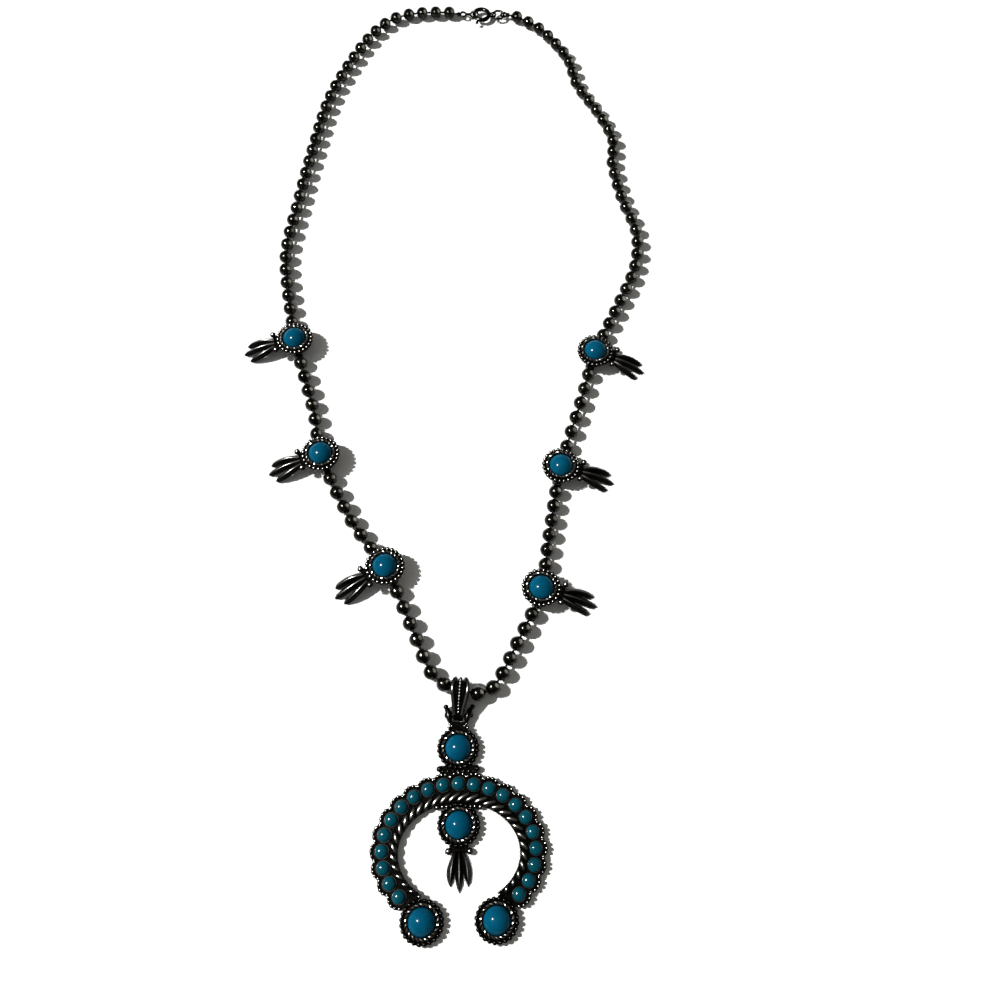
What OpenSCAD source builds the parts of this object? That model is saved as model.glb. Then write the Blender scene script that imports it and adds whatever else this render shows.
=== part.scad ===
// Squash blossom necklace, laid flat: a loop of round silver beads on a thread, six
// blossoms, a horseshoe pendant on a bail, and a spring ring clasp. Millimetres, +Z up,
// the table is z = 0, and the loop runs from the pendant (low Y) to the clasp (high Y).

/* [Beads] */
// Diameter of a bead
bead_d = 4.8; // [4:0.1:5.6]
// Least space left between two beads
bead_gap = 0.4; // [0.3:0.05:1]
// Hole drilled through a bead
bead_hole_d = 1.7; // [1.5:0.05:2]
// Diameter of the thread
thread_d = 0.8; // [0.6:0.05:1.1]

/* [Stones] */
// Diameter of a large round stone
stone_d = 8; // [6.5:0.1:9]
// Height of a large stone's straight edge
stone_edge_h = 1.0; // [0.8:0.05:1.4]
// Height of a large stone's dome over its edge
stone_dome_h = 2.6; // [1.8:0.1:3]
// Diameter of a small stone of the row
small_stone_d = 3.6; // [3:0.1:4]
// Height of a small stone's straight edge
small_edge_h = 0.7; // [0.6:0.05:1]
// Height of a small stone's dome over its edge
small_dome_h = 1.3; // [0.8:0.1:1.6]
// Space around a stone in its seat
stone_gap = 0.08; // [0.05:0.01:0.12]
// Depth of a large stone's seat in its plate
seat_depth = 0.4; // [0.3:0.05:0.6]
// Depth of a small stone's seat in the crescent
small_seat_depth = 0.3; // [0.2:0.05:0.5]

/* [Settings] */
// Wall of the collar round a large stone
collar_t = 0.35; // [0.3:0.05:0.5]
// Height of the collar over its plate
collar_h = 0.7; // [0.5:0.05:0.8]
// Diameter of the wire round the collar
bezel_wire_d = 0.9; // [0.85:0.05:1]
// Diameter of a ball of the outer ring
granule_d = 1.3; // [1.1:0.05:1.5]
// Space between two balls of the outer ring
granule_gap = 0.4; // [0.3:0.05:0.6]
// Space between the collar's wire and the balls
ring_gap = 0.22; // [0.15:0.01:0.4]
// Thickness of the plate under a blossom's stone
blossom_plate_t = 1.2; // [1:0.1:1.6]
// Thickness of the plate under a pendant stone
pendant_plate_t = 1.6; // [1.2:0.1:2]

/* [Blossoms] */
// From the stone's centre to the tip of the middle petal
petal_reach = 19; // [17:0.5:21]
// Greatest width of one petal
petal_w = 2.6; // [2:0.1:3]
// Height of a petal's ridge over its underside
petal_h = 1.5; // [1.2:0.1:2]
// From the middle petal's line to the tip of a side petal
petal_tip_x = 2.8; // [2.4:0.1:3.4]
// How much shorter a side petal is
petal_step = 1.7; // [1:0.1:2.5]
// Diameter of the two balls at the neck
neck_ball_d = 2; // [1.6:0.1:2.4]
// From the ring of balls to the line of the two neck balls
neck_out = 1.0; // [0.6:0.1:1.5]
// Distance between the two neck balls
neck_ball_span = 6.4; // [5.6:0.1:7.2]
// Outer diameter of the shank tube behind a blossom
shank_d = 3.4; // [3:0.1:3.8]
// How deep the shank is let into the plate
shank_sink = 0.3; // [0.2:0.05:0.5]
// Space between a shank's end and the next bead
shank_gap = 0.4; // [0.3:0.05:0.8]

/* [Crescent] */
// Half width of the row of stones, centre to centre
row_rx = 23; // [21:0.5:25]
// Half height of the oval that the row follows
row_ry = 19.4; // [18:0.2:21]
// Half width of the opening
opening_rx = 18.2; // [16.5:0.1:18.4]
// Half height of the opening's oval
opening_ry = 14.3; // [13:0.1:14.6]
// Thickness of the crescent's plate
crescent_t = 1.4; // [1.2:0.1:2]
// Number of small stones in the row
row_count = 21; // [19:2:21]
// Wall of the collar round a small stone
small_collar_t = 0.4; // [0.3:0.05:0.42]
// Height of a small collar over the crescent's plate
small_collar_h = 0.5; // [0.4:0.05:0.7]
// Diameter of the small balls along the scallops
milgrain_d = 0.9; // [0.7:0.05:1]
// Height of the rope's ridges over the table
rope_h = 2.9; // [2.4:0.1:3.4]
// How far the rope's strands stand over the band under them
strand_rise = 0.8; // [0.5:0.05:1]
// Diameter of one strand of the rope
strand_d = 1.25; // [1.2:0.05:1.3]
// Distance from one strand of the rope to the next
rope_pitch = 2.2; // [1.8:0.1:3]

/* [Pendant layout] */
// Half the distance between the two end stones
finial_x = 10.9; // [10:0.1:11.5]
// How far the end stones lie below the crescent's centre
finial_drop = 17.9; // [17:0.1:19]
// Height of the hanging blossom's stone over the crescent's centre
drop_y = 8.8; // [8:0.1:9.4]
// Height of the top stone over the crescent's centre
top_y = 31.6; // [31:0.1:33]
// Depth of the shelf between the crescent and the top stone
shelf_d = 3.2; // [2.6:0.1:3.6]
// Length of the shelf
shelf_l = 11.6; // [10:0.2:13]
// Diameter of the ball at each end of the shelf
shelf_ball_d = 1.9; // [1.6:0.1:2.2]
// Diameter of the small balls along the shelf
shelf_grain_d = 1.2; // [1:0.1:1.4]
// From the edge of the top stone to the middle of the shelf
shelf_out = 2.8; // [2.6:0.1:3.2]
// Length of the bar that carries the hanging blossom
drop_bar_l = 13.2; // [12:0.2:14.4]
// Diameter of the ball at each end of that bar
bar_ball_d = 1.7; // [1.4:0.1:2]
// Diameter of the small balls along that bar
bar_grain_d = 1.1; // [0.9:0.1:1.3]
// From the edge of the hanging blossom's stone to the middle of that bar
bar_out = 1.3; // [1:0.1:1.6]
// Thickness of the cross bar and of the hanger's frame
hanger_t = 1.2; // [1:0.1:1.5]
// Width of the hanger
hanger_w = 6.2; // [5.6:0.1:7]
// From the top stone's ring to the hanger's cross bar
hanger_reach = 3.7; // [3.5:0.1:4.5]
// Diameter of the curled sprouts beside the hanger
sprout_d = 1.1; // [0.8:0.1:1.3]
// Radius of the sprouts' curl
sprout_r = 2.7; // [2.2:0.1:3]

/* [Bail] */
// Width of the bail at its fold
bail_w = 5.8; // [5:0.1:6.4]
// Width of the bail where it holds the hanger
bail_low_w = 3; // [2.6:0.1:3.4]
// Thickness of the bail's strap
bail_t = 0.8; // [0.6:0.05:1]
// Space round the bead and round the hanger's bar
bail_gap = 0.35; // [0.3:0.05:0.5]
// From the hanger's bar to the centre of the fold
bail_l = 7.5; // [7:0.1:9]
// How far the bail leans to the side, in degrees
bail_lean = 5; // [0:1:6]
// Height of the two rails on the front leaf
rail_h = 0.45; // [0.3:0.05:0.6]
// Width of a rail
rail_w = 0.9; // [0.7:0.05:1.1]
// Diameter of the row of balls on the front leaf
bail_ball_d = 0.9; // [0.7:0.05:1]

/* [Clasp] */
// Outer diameter of the spring ring
clasp_d = 8; // [7.5:0.1:9]
// Outer diameter of its tube
tube_d = 1.7; // [1.6:0.05:1.9]
// Bore of its tube
tube_bore_d = 1.0; // [0.95:0.05:1.1]
// Diameter of the curved bolt in the tube
bolt_d = 0.7; // [0.6:0.05:0.75]
// Wire of the small loops and links
link_wire_d = 0.8; // [0.7:0.05:0.85]
// Wire of the jump ring
jump_wire_d = 0.9; // [0.8:0.05:1]
// Outer diameter of the jump ring
jump_d = 5.6; // [5:0.1:6.2]
// Space between two linked rings
link_gap = 0.3; // [0.25:0.05:0.4]
// Travel of the bolt, in degrees
bolt_travel = 46; // [40:1:48]
// Length of the sleeve that holds a thread's end
sleeve_l = 1.1; // [0.9:0.1:1.4]

/* [Hidden] */

$fn = 40;
silver = [0.42, 0.42, 0.40];
turquoise = [0.02, 0.40, 0.52];
dark_cord = [0.10, 0.10, 0.09];

// The part's origin, the middle of its outline, seen from the crescent's centre
origin_x = -1.9;
origin_y = 161.9;

// The strand's own route, from the bead in the bail up each side to the clasp
LEFT_ROUTE = [
    [-8, 54.5], [-15, 70.5], [-23.5, 90], [-35.5, 107.5], [-46.5, 131], [-50.5, 150],
    [-58, 177], [-63, 204], [-64, 220], [-61, 241], [-56.5, 269], [-50.5, 297],
    [-38.5, 324.5], [-28, 338.5], [-17, 343.5], [-3, 344.5]
];
RIGHT_ROUTE = [
    [10.5, 49.5], [19.5, 65], [27.5, 82], [31, 101], [36, 126], [44.5, 152.5],
    [51, 173], [60, 192], [68.5, 211], [70.5, 228], [66, 245], [63.5, 262],
    [64.5, 274], [60, 287.5], [51.5, 304], [48, 319], [38, 334.5], [29, 341.5]
];
// Distance along the strand from the bail to each blossom, and the beads between them
LEFT_STATIONS = [49.8, 97.2, 145];
LEFT_BEADS = [7, 6, 6, 33];
RIGHT_STATIONS = [47.5, 92.5, 141];
RIGHT_BEADS = [7, 6, 6, 32];
// Where the clasp's ring lies
CLASP_AT = [12.1, 344.1];

// General shape helpers

module torus(ring_r, wire) rotate_extrude() translate([ring_r, 0]) circle(d = wire);

module stone(d, edge_h, dome_h) {
    dome_r = (d * d / 4 + dome_h * dome_h) / (2 * dome_h);
    color(turquoise) intersection() {
        cylinder(d = d, h = edge_h + dome_h + 1, $fn = 64);
        union() {
            translate([0, 0, edge_h + dome_h - dome_r]) sphere(r = dome_r, $fn = 64);
            cylinder(d = d + 2, h = edge_h, $fn = 64);
        }
    }
}

// Places along a line of points: a running length, and the point and direction at a length

function run_of(p) = [
    for (i = 0, s = 0; i < len(p); i = i + 1, s = i < len(p) ? s + norm(p[i] - p[i - 1]) : s) s
];
function track(p) = let (s = run_of(p)) [
    s[len(s) - 1],
    [for (i = [0:len(p) - 1]) [s[i], p[i][0]]],
    [for (i = [0:len(p) - 1]) [s[i], p[i][1]]],
    [for (i = [0:len(p) - 1]) [s[i], p[i][2]]]
];
function at(t, s) = [lookup(s, t[1]), lookup(s, t[2]), lookup(s, t[3])];
function unit(v) = v / norm(v);
function heading(t, s) = unit(at(t, min(s + 0.4, t[0])) - at(t, max(s - 0.4, 0)));

function blend(a, b, c, d, t) = 0.5 * (2 * b + (c - a) * t
    + (2 * a - 5 * b + 4 * c - d) * t * t + (3 * b - a - 3 * c + d) * t * t * t);
function smooth(p, steps) = let (n = len(p) - 1) [
    for (i = [0:n - 1], k = [0:steps - 1])
        blend(i > 0 ? p[i - 1] : 2 * p[0] - p[1], p[i], p[i + 1],
              i < n - 1 ? p[i + 2] : 2 * p[n] - p[n - 1], k / steps),
    p[n]
];

// a bead's place on the strand, never lower than the table lets it lie
module along(t, s) {
    h = heading(t, s);
    p = at(t, s);
    translate([p[0], p[1], max(p[2], bead_d / 2)])
        rotate([0, acos(h[2]), atan2(h[1], h[0])]) children();
}

// One closed skin over rings of points, every ring with as many points
module skin(rings) {
    n = len(rings[0]);
    last = len(rings) - 1;
    polyhedron(
        points = [for (r = rings, p = r) p],
        faces = concat(
            [[for (k = [0:n - 1]) k]],
            [for (i = [0:last - 1], k = [0:n - 1])
                [i * n + k, (i + 1) * n + k, i * n + (k + 1) % n]],
            [for (i = [0:last - 1], k = [0:n - 1])
                [(i + 1) * n + k, (i + 1) * n + (k + 1) % n, i * n + (k + 1) % n]],
            [[for (k = [n - 1:-1:0]) last * n + k]]
        ),
        convexity = 8
    );
}

// Heights and lengths that several pieces share

strand_z = bead_d / 2;
shelf_y = top_y - stone_d / 2 - shelf_out;
drop_bar_y = drop_y + stone_d / 2 + bar_out;
seat_r = stone_d / 2 + stone_gap;
small_seat_r = small_stone_d / 2 + stone_gap;
collar_r = seat_r + collar_t;
granule_ring_r = collar_r + bezel_wire_d / 2 + ring_gap + granule_d / 2;
setting_r = granule_ring_r + granule_d / 2;

bar_d = hanger_t;
fold_r = bead_d / 2 + bail_gap + bail_t;
foot_r = bar_d / 2 + bail_gap + bail_t;
bar_y = top_y + setting_r + hanger_reach;
fold_at = [bail_l * sin(bail_lean), bar_y + bail_l * cos(bail_lean), fold_r];

blossom_room = setting_r + bead_d / 2 + 0.2;
bail_room = max(bail_w / 2, fold_r) + bead_d / 2 - 0.2;
end_room = sleeve_l + bead_d / 2 + 0.3;
shank_l = 2 * (blossom_room - bead_d / 2 - shank_gap);
blossom_z = strand_z + shank_d / 2 - shank_sink;

tube_ring_r = (clasp_d - tube_d) / 2;
hook_r = tube_d / 2 + link_gap + link_wire_d / 2;
clasp_z = hook_r + link_wire_d / 2;
eye_r = jump_wire_d / 2 + link_gap + link_wire_d / 2;
eye_x = CLASP_AT[0] + clasp_d / 2 - tube_d / 4 + eye_r + 0.2;
jump_ring_r = (jump_d - jump_wire_d) / 2;
jump_x = eye_x + jump_ring_r;
loop_x = jump_x + jump_ring_r;
tag_r = 1.25;
hook_x = CLASP_AT[0] - tube_ring_r;
tag_x = hook_x - hook_r - 2.0 - tag_r;
sleeve_d = thread_d + 0.9;
left_end_x = tag_x - tag_r - link_wire_d / 2 - sleeve_l + 0.5;
right_end_x = loop_x + eye_r + link_wire_d / 2 + sleeve_l - 0.5;

// The strands would meet here, inside the bail's fold; the thread cuts that corner
corner_in = 0.4;
corner_half = 2;
corner_at = fold_at + [0, -corner_in, corner_in / 2];

function lift(p, z) = [p[0], p[1], z];
function strand(route, end_x) = track(smooth(concat(
    [corner_at],
    [for (i = [0:len(route) - 2]) lift(route[i], strand_z)],
    [lift(route[len(route) - 1], strand_z), [end_x, CLASP_AT[1], clasp_z]]), 12));
left_strand = strand(LEFT_ROUTE, left_end_x);
right_strand = strand(RIGHT_ROUTE, right_end_x);
corner = track([at(left_strand, corner_half), at(right_strand, corner_half)]);

// Beads: as many as the list says, or as fit

function spread(from, to, count) =
    let (n = min(count, floor((to - from) / (bead_d + bead_gap)) + 1))
    [for (i = [0:n - 1]) n > 1 ? from + (to - from) * i / (n - 1) : (from + to) / 2];
function bead_places(t, stations, counts) = [
    for (i = [0:3]) each spread(
        i == 0 ? bail_room : stations[i - 1] + blossom_room,
        i == 3 ? t[0] - end_room : stations[i] - blossom_room,
        counts[i])
];

module bead() difference() {
    sphere(d = bead_d);
    cylinder(d = bead_hole_d, h = bead_d + 1, center = true);
}

module beads_left() color(silver) {
    along(corner, corner[0] / 2) bead();
    for (s = bead_places(left_strand, LEFT_STATIONS, LEFT_BEADS)) along(left_strand, s) bead();
}

module beads_right() color(silver)
    for (s = bead_places(right_strand, RIGHT_STATIONS, RIGHT_BEADS)) along(right_strand, s) bead();

// Thread: one tube from sleeve to sleeve, through every bead, shank and the bail

thread_sides = 5;
thread_step = 3.4;
thread_end = 0.3;

function thread_ring(p, h) =
    let (side = unit([-h[1], h[0], 0]), up = cross(h, side))
    [for (k = [0:thread_sides - 1])
        p + thread_d / 2 * (side * cos(360 * k / thread_sides) + up * sin(360 * k / thread_sides))];
function thread_half(t, way) =
    let (n = round((t[0] - thread_end) / thread_step))
    [for (i = [0:n]) let (j = way > 0 ? i : n - i, s = j * (t[0] - thread_end) / n)
        thread_ring(at(t, s), way * heading(t, s))];

function corner_ring(t, way) = thread_ring(at(t, corner_half), way * heading(t, corner_half));

module thread() color(dark_cord) {
    left = thread_half(left_strand, -1);
    right = thread_half(right_strand, 1);
    skin(concat([for (i = [0:len(left) - 2]) left[i]],
        [corner_ring(left_strand, -1), corner_ring(right_strand, 1)],
        [for (i = [1:len(right) - 1]) right[i]]));
}

// A stone's setting: plate, collar, wire and a ring of balls, with its underside at z = 0

module setting(base_t) {
    cylinder(r = granule_ring_r + granule_d * 0.23, h = base_t, $fn = 64);
    cylinder(r = collar_r, h = base_t + collar_h, $fn = 64);
    translate([0, 0, base_t + bezel_wire_d / 2]) torus(collar_r, bezel_wire_d);
    count = floor(360 * granule_ring_r / 57.3 / (granule_d + granule_gap));
    for (i = [0:count - 1]) rotate((i + 0.5) * 360 / count)
        translate([granule_ring_r, 0, base_t - 0.05]) sphere(d = granule_d, $fn = 24);
}

module seat(base_t) translate([0, 0, base_t - seat_depth])
    cylinder(r = seat_r, h = seat_depth + bezel_wire_d + 1, $fn = 64);

module large_stone(base_t) translate([0, 0, base_t - seat_depth + stone_gap / 2])
    stone(stone_d, stone_edge_h, stone_dome_h);

// Petals: each row is share of length, share of half width, share of height, share of fan

PETAL_ROWS = [
    [0.00, 0.50, 0.62, 0.36], [0.14, 0.72, 0.84, 0.52], [0.32, 0.94, 1.00, 0.74],
    [0.50, 1.00, 1.00, 0.88], [0.68, 0.86, 0.86, 0.96], [0.84, 0.56, 0.62, 1.00],
    [1.00, 0.08, 0.24, 1.00]
];
petal_start = setting_r + neck_out;
neck_lap = 0.2;
neck_bar_d = 0.9;

module petal(side, droop) {
    reach = petal_reach - petal_start - (side == 0 ? 0 : petal_step);
    skin([for (r = PETAL_ROWS)
        let (x = side * petal_tip_x * r[3], y = -petal_start - reach * r[0],
             w = petal_w / 2 * r[1], h = petal_h * r[2], z = -droop * pow(r[0], 1.5))
        [[x - w, y, z], [x + w, y, z], [x + 0.45 * w, y, z + 0.5 * h],
         [x, y, z + h], [x - 0.45 * w, y, z + 0.5 * h]]]);
}

module tail(base_t, droop) {
    for (side = [-1, 0, 1]) petal(side, droop);
    neck_y = -setting_r - neck_out;
    translate([-neck_ball_span / 2, neck_y - neck_lap, 0])
        cube([neck_ball_span, neck_out + granule_d - 0.1, base_t + neck_lap]);
    translate([0, neck_y, base_t / 2 + neck_ball_d * 0.3]) rotate([0, 90, 0])
        cylinder(d = base_t + neck_bar_d, h = neck_ball_span - neck_ball_d / 2, center = true);
    for (side = [-1, 1]) translate([side * neck_ball_span / 2, neck_y, neck_ball_d / 2 + 0.05])
        sphere(d = neck_ball_d, $fn = 24);
}

// Blossoms: three up each side, numbered from the bail

function blossom_track(i) = i <= 3 ? left_strand : right_strand;
function blossom_station(i) = i <= 3 ? LEFT_STATIONS[i - 1] : RIGHT_STATIONS[i - 4];

module at_blossom(i) {
    t = blossom_track(i);
    s = blossom_station(i);
    p = at(t, s);
    h = heading(t, s);
    turn = atan2(h[1], h[0]) + (i <= 3 ? 180 : 0);
    translate([p[0], p[1], blossom_z]) rotate(turn) children();
}

module blossom(i) color(silver) at_blossom(i) difference() {
    union() {
        setting(blossom_plate_t);
        tail(blossom_plate_t, blossom_z - 0.15);
        translate([0, 0, shank_sink - shank_d / 2]) rotate([0, 90, 0])
            cylinder(d = shank_d, h = shank_l, center = true);
    }
    seat(blossom_plate_t);
    translate([0, 0, shank_sink - shank_d / 2]) rotate([0, 90, 0])
        cylinder(d = bead_hole_d, h = shank_l + 1, center = true);
}

module blossom_stone(i) at_blossom(i) large_stone(blossom_plate_t);

// Crescent: ovals about two nearby centres, walked by their own length from the top

row_y = 1.5;
opening_y = 1.0;
row_margin = 1.2;
drop_bar_w = 1.2;
row_end_angle = 130;
band_end_angle = 142;

function oval(rx, ry, cy, a) = [rx * sin(a), cy + ry * cos(a), 0];
row_track = track([for (a = [0:2:row_end_angle]) oval(row_rx, row_ry, row_y, a)]);
row_half = (row_count - 1) / 2;
function row_place(i) =
    let (k = i - 1 - row_half, p = at(row_track, row_track[0] * abs(k) / row_half))
    [k < 0 ? -p[0] : p[0], p[1], 0];
// outward direction of the row at a stone, in degrees
function row_turn(i) = let (p = row_place(i))
    atan2((p[1] - row_y) / (row_ry * row_ry), p[0] / (row_rx * row_rx));

scallop_r = small_seat_r + small_collar_t + milgrain_d / 2 + 0.05;
milgrain_r = scallop_r + 0.1;

module crescent_plan() {
    polygon(concat(
        [for (a = [-band_end_angle:4:band_end_angle])
            let (p = oval(row_rx + row_margin, row_ry + row_margin, row_y, a)) [p[0], p[1]]],
        [for (a = [band_end_angle:-4:-band_end_angle])
            let (p = oval(opening_rx, opening_ry, opening_y, a)) [p[0], p[1]]]
    ));
    for (i = [1:row_count]) translate(row_place(i)) circle(r = scallop_r);
    translate([-shelf_l / 2, row_y + row_ry])
        square([shelf_l, shelf_y + shelf_d / 2 - row_y - row_ry]);
    translate([-drop_bar_l / 2, drop_bar_y - drop_bar_w / 2])
        square([drop_bar_l, opening_y + opening_ry - drop_bar_y + drop_bar_w]);
}

module crescent() {
    linear_extrude(crescent_t) crescent_plan();
    for (i = [1:row_count]) translate(row_place(i)) rotate(row_turn(i)) {
        cylinder(r = small_seat_r + small_collar_t, h = crescent_t + small_collar_h);
        for (a = [-28, 0, 28]) rotate(a)
            translate([milgrain_r, 0, crescent_t]) sphere(d = milgrain_d, $fn = 20);
    }
}

// Rope: slanted strands on a raised band between the stones and the opening

// share of the free width that the rope fills, by the angle from the top
ROPE_FILL = [[0, 0.94], [60, 0.92], [110, 0.88], [135, 0.62], [150, 0.45]];
rope_slant = 38;
rope_inset = 0.15;
rope_track = track([
    for (a = [-band_end_angle:4:band_end_angle]) oval(opening_rx, opening_ry, opening_y, a)
]);
rope_count = round(rope_track[0] / rope_pitch) - 1;

function rope_room(a) = - small_seat_r - small_collar_t
    + norm(oval(row_rx, row_ry, row_y, a) - oval(opening_rx, opening_ry, opening_y, a));
function rope_angle(s) = band_end_angle * (2 * s / rope_track[0] - 1);
function rope_w(s) = rope_room(rope_angle(s)) * lookup(abs(rope_angle(s)), ROPE_FILL);
// a point of the rope's band, s along the opening and u across from 0 to 1 of its width
function rope_point(s, u) =
    let (p = at(rope_track, s), h = heading(rope_track, s), v = rope_inset + u * rope_w(s))
    [p[0] - h[1] * v, p[1] + h[0] * v];

module rope() {
    steps = 2 * rope_count;
    linear_extrude(rope_h - strand_rise) polygon(concat(
        [for (i = [0:steps]) rope_point(rope_track[0] * i / steps, 0)],
        [for (i = [steps:-1:0]) rope_point(rope_track[0] * i / steps, 1)]
    ));
    for (i = [1:rope_count]) {
        s = rope_track[0] * i / (rope_count + 1);
        w = rope_w(s);
        h = heading(rope_track, s);
        p = rope_point(s, 0.5);
        d = min(strand_d, w * 0.8);
        l = (w - d * cos(rope_slant) - 0.1) / sin(rope_slant);
        translate([p[0], p[1], rope_h - d / 2]) rotate(atan2(h[1], h[0]) + rope_slant)
            rotate([0, 90, 0]) cylinder(d = d, h = l, center = true, $fn = 16);
    }
}

module at_top() translate([0, top_y, 0]) children();
module at_drop() translate([0, drop_y, 0]) children();
module at_left_end() translate([-finial_x, -finial_drop, 0]) children();
module at_right_end() translate([finial_x, -finial_drop, 0]) children();

// balls on the shelf under the top stone, and on the bar that carries the hanging blossom
module shelf_balls() {
    for (side = [-1, 1]) translate([side * shelf_l / 2, shelf_y + shelf_ball_d / 3, crescent_t - 0.3])
        sphere(d = shelf_ball_d, $fn = 24);
    for (i = [-3:3]) translate([i * shelf_grain_d * 4 / 3, shelf_y - shelf_grain_d / 6, crescent_t])
        sphere(d = shelf_grain_d, $fn = 24);
}

module drop_bar_balls() for (side = [-1, 1]) {
    translate([side * drop_bar_l / 2, drop_bar_y, crescent_t - bar_ball_d / 4])
        sphere(d = bar_ball_d, $fn = 24);
    for (i = [0:1]) let (x = drop_bar_l / 2 - bar_ball_d - 1.2 * bar_grain_d * i)
        translate([side * x, drop_bar_y + 0.1, crescent_t]) sphere(d = bar_grain_d, $fn = 24);
}

module hanger() {
    bar_z = foot_r;
    hole_l = bail_t + 2 * bail_gap;
    hole_w = bail_low_w + 1.0;
    root_y = top_y + granule_ring_r - 1;
    root_l = bar_y - bar_d / 2 - hole_l - root_y;
    translate([-hanger_w / 2, root_y, 0]) cube([hanger_w, root_l, bar_z + hanger_t / 2]);
    for (side = [-1, 1]) {
        translate([side * (hanger_w + hole_w) / 4, (root_y + bar_y) / 2, bar_z])
            cube([(hanger_w - hole_w) / 2, bar_y - root_y, hanger_t], center = true);
        translate([side * (hanger_w / 2 - sprout_d / 2 + 0.1 + sprout_r), bar_y - 0.6, bar_z])
            mirror([side > 0 ? 1 : 0, 0, 0]) {
                rotate_extrude(angle = 80) translate([sprout_r, 0]) circle(d = sprout_d);
                rotate(80) translate([sprout_r, 0, 0]) sphere(d = sprout_d + 0.5, $fn = 24);
            }
    }
    translate([0, bar_y, bar_z]) rotate([0, 90, 0]) cylinder(d = bar_d, h = hanger_w, center = true);
}

module pendant_frame() color(silver) difference() {
    union() {
        crescent();
        rope();
        at_top() setting(pendant_plate_t);
        at_drop() setting(pendant_plate_t);
        at_drop() tail(pendant_plate_t, 0);
        at_left_end() setting(pendant_plate_t);
        at_right_end() setting(pendant_plate_t);
        shelf_balls();
        drop_bar_balls();
        hanger();
    }
    at_top() seat(pendant_plate_t);
    at_drop() seat(pendant_plate_t);
    at_left_end() seat(pendant_plate_t);
    at_right_end() seat(pendant_plate_t);
    for (i = [1:row_count]) translate(row_place(i) + [0, 0, crescent_t - small_seat_depth])
        cylinder(r = small_seat_r, h = 3);
}

module row_stone(i) translate(row_place(i) + [0, 0, crescent_t - small_seat_depth + stone_gap / 2])
    stone(small_stone_d, small_edge_h, small_dome_h);
module top_stone() at_top() large_stone(pendant_plate_t);
module drop_stone() at_drop() large_stone(pendant_plate_t);
module left_end_stone() at_left_end() large_stone(pendant_plate_t);
module right_end_stone() at_right_end() large_stone(pendant_plate_t);

// Bail: a strap bent round the hanger's bar and folded over the strand, seen from its side as
// two circles and their tangents; u runs from the bar to the fold, v is the height

module bail_side(low_r, high_r) {
    reach = norm([bail_l, fold_r - foot_r]);
    tilt = atan2(fold_r - foot_r, bail_l);
    open = asin((high_r - low_r) / reach);
    front = 90 + tilt + open;
    back = tilt - 90 - open;
    translate([0, foot_r]) circle(r = low_r, $fn = 64);
    translate([bail_l, fold_r]) circle(r = high_r, $fn = 64);
    polygon([
        [low_r * cos(back), foot_r + low_r * sin(back)],
        [bail_l + high_r * cos(back), fold_r + high_r * sin(back)],
        [bail_l + high_r * cos(front), fold_r + high_r * sin(front)],
        [low_r * cos(front), foot_r + low_r * sin(front)]
    ]);
}

// the plan of the strap, or of a line along it: half widths at the foot and at the fold
module bail_plan(x_low, x_high, w_low, w_high, h) linear_extrude(h) polygon([
    [x_low - w_low, -foot_r - 1], [x_low + w_low, -foot_r - 1],
    [x_high + w_high, bail_l], [x_high + w_high, bail_l + fold_r + 2],
    [x_high - w_high, bail_l + fold_r + 2], [x_high - w_high, bail_l]
]);

module bail_strap(grow) rotate([90, 0, 90]) linear_extrude(bail_w + 2, center = true) difference() {
    bail_side(foot_r + grow, fold_r + grow);
    bail_side(foot_r - bail_t, fold_r - bail_t);
}

module bail() color(silver) translate([0, bar_y, 0]) rotate(-bail_lean) {
    h = 2 * fold_r + 2;
    difference() {
        union() {
            intersection() {
                bail_strap(0);
                translate([0, 0, -1]) bail_plan(0, 0, bail_low_w / 2, bail_w / 2, h + 1);
            }
            for (side = [-1, 1]) intersection() {
                bail_strap(rail_h);
                translate([0, 0, fold_r]) bail_plan(side * (bail_low_w - rail_w) / 2,
                    side * (bail_w - rail_w) / 2, rail_w / 2 - 0.05, rail_w / 2 - 0.05, h);
            }
            bail_balls();
        }
        rotate([90, 0, 90]) linear_extrude(bail_w + 2, center = true)
            bail_side(foot_r - bail_t, fold_r - bail_t);
    }
}

module bail_balls() {
    tilt = atan2(fold_r - foot_r, bail_l);
    open = asin((fold_r - foot_r) / norm([bail_l, fold_r - foot_r]));
    front = 90 + tilt + open;
    flat_l = bail_l / cos(tilt) * cos(open);
    for (i = [0:6]) let (s = 0.4 + i * (flat_l - 0.4) / 6)
        translate([0, foot_r * cos(front) + s * sin(front), foot_r + foot_r * sin(front) - s * cos(front)])
            sphere(d = bail_ball_d, $fn = 20);
    for (a = [front - 20:-20:0]) translate([0, bail_l + fold_r * cos(a), fold_r + fold_r * sin(a)])
        sphere(d = bail_ball_d, $fn = 20);
}

// Clasp: angles round the spring ring, from the eye on its right

gap_from = 195;
gap_to = 237;
lever_at = 247;
slot_w = 0.7;
stem_d = 0.5;

module at_clasp() translate([CLASP_AT[0], CLASP_AT[1], clasp_z]) children();

module clasp_ring() color(silver) at_clasp() {
    difference() {
        rotate_extrude(angle = 360 - gap_to + gap_from, start = gap_to) translate([tube_ring_r, 0])
            difference() {
                circle(d = tube_d);
                circle(d = tube_bore_d);
            }
        rotate_extrude(angle = bolt_travel + 14, start = lever_at - 7) translate([tube_ring_r, -slot_w / 2])
            square([tube_d, slot_w]);
    }
    translate([eye_x - CLASP_AT[0], 0, 0]) rotate([90, 0, 0]) torus(eye_r, link_wire_d);
}

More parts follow.
